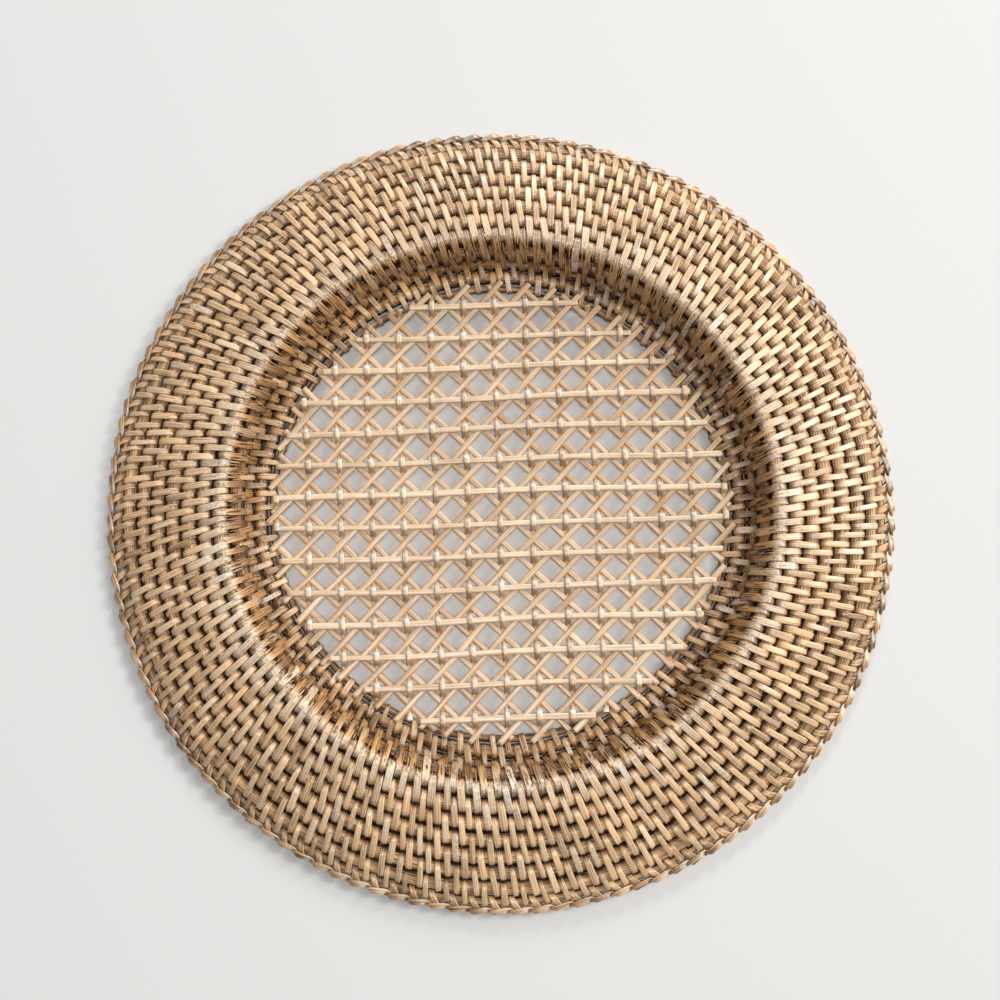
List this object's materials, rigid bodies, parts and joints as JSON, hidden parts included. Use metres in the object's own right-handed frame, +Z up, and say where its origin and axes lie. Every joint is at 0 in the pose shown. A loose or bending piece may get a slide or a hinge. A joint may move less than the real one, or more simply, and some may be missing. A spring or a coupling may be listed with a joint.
{
  "type": "charger plate",
  "caption": "Round charger plate of lashed rattan coils: a raised, sloping rim with a plaited edge round a flat well of open woven cane.",
  "frame": {"origin": "middle of the plate, on the surface it stands on", "axes": "+Z up out of the well; +Y towards the top of the picture, +X to its right"},
  "size_m": [0.3276, 0.3276, 0.0199],
  "materials": {
    "core_rattan": "bundled rattan rods, matt",
    "stitch_cane": "split rattan strip, soft sheen",
    "plait_cane": "narrow split rattan strip, soft sheen",
    "mesh_cane": "chair cane, pale, soft sheen"
  },
  "bodies": {
    "root": {"hoop_core_rod": "core_rattan", "well_coil_1": "core_rattan", "well_coil_2": "core_rattan", "wall_coil": "core_rattan", "crest_coil": "core_rattan", "rim_coil_1": "core_rattan", "rim_coil_2": "core_rattan", "rim_coil_3": "core_rattan", "rim_coil_4": "core_rattan", "rim_coil_5": "core_rattan", "rim_coil_6": "core_rattan", "edge_rod": "core_rattan", "lash_hoop": "stitch_cane", "lash_well": "stitch_cane", "lash_wall_foot": "stitch_cane", "lash_wall_top": "stitch_cane", "lash_rim_1": "stitch_cane", "lash_rim_2": "stitch_cane", "lash_rim_3": "stitch_cane", "lash_rim_4": "stitch_cane", "lash_rim_5": "stitch_cane", "lash_rim_6": "stitch_cane", "lash_edge": "stitch_cane", "edge_plait": "plait_cane", "mesh_across": "mesh_cane", "mesh_along": "mesh_cane", "mesh_rising": "mesh_cane", "mesh_falling": "mesh_cane"}
  },
  "joints": []
}
